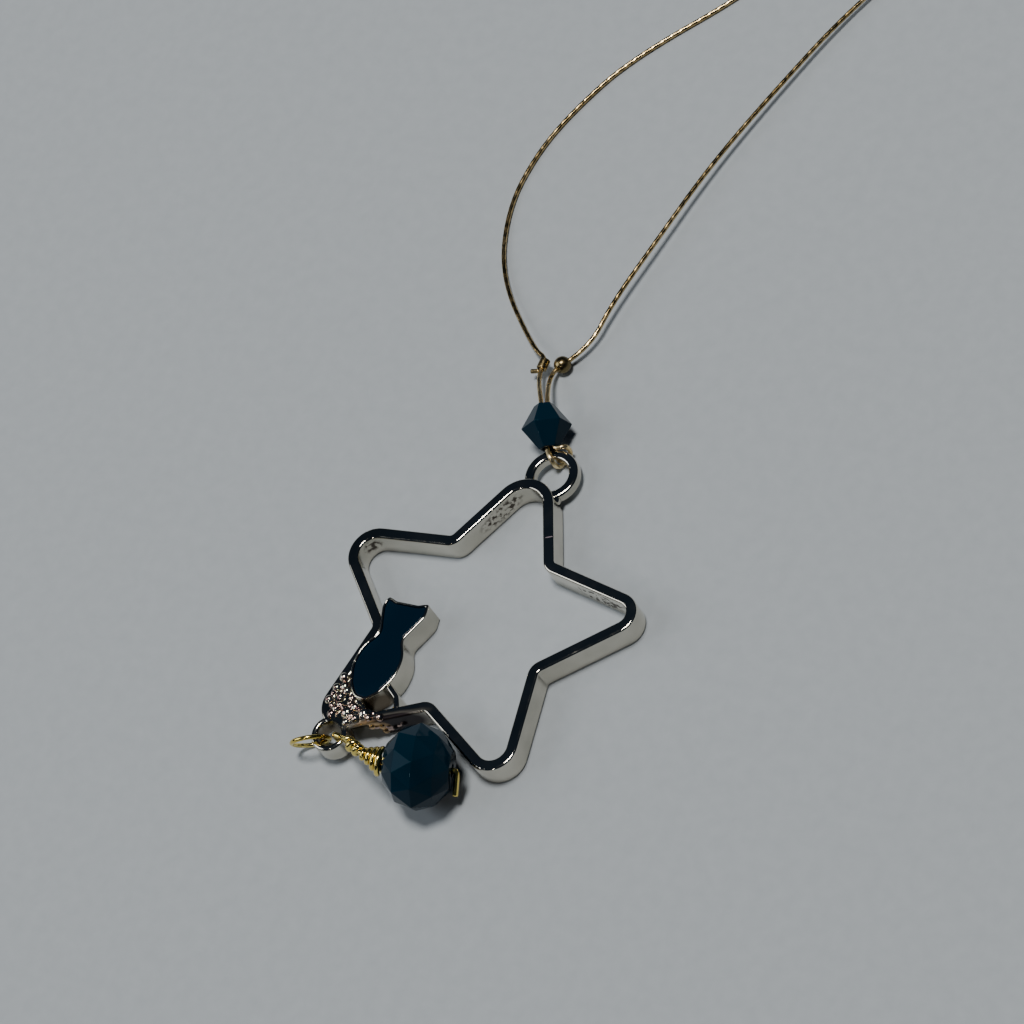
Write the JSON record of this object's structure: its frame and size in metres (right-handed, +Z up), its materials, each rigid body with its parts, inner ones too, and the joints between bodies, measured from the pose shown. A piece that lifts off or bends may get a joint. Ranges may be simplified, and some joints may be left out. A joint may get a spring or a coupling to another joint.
{
  "type": "star pendant necklace",
  "caption": "Cast star pendant with a seated cat in one corner, a bicone bead above, a wire-wrapped bead drop below, and a necklace of stranded wire.",
  "frame": {"origin": "on the flat underside of the star's band, in the middle of its top tip", "axes": "+Z up from the surface the pendant lies on, +Y from the star's middle towards its top tip, +X to the star's right seen from above"},
  "size_m": [0.1037, 0.1949, 0.0062],
  "materials": {
    "cast_metal": "polished dark nickel",
    "black_enamel": "gloss",
    "black_glass": "opaque black, cut and polished",
    "gold_wire": "bright",
    "stranded_wire": "twisted strands under clear nylon",
    "clasp_metal": "bright"
  },
  "bodies": {
    "root": {"star_frame": "cast_metal", "cat_enamel": "black_enamel", "bicone_bead": "black_glass", "link_wire": "gold_wire", "crimp_tube": "gold_wire", "crimp_ball": "gold_wire", "strand_left": "stranded_wire", "strand_right": "stranded_wire", "clasp": "clasp_metal", "drop_bead": "black_glass", "drop_wire": "gold_wire", "jump_ring": "gold_wire"}
  },
  "joints": []
}
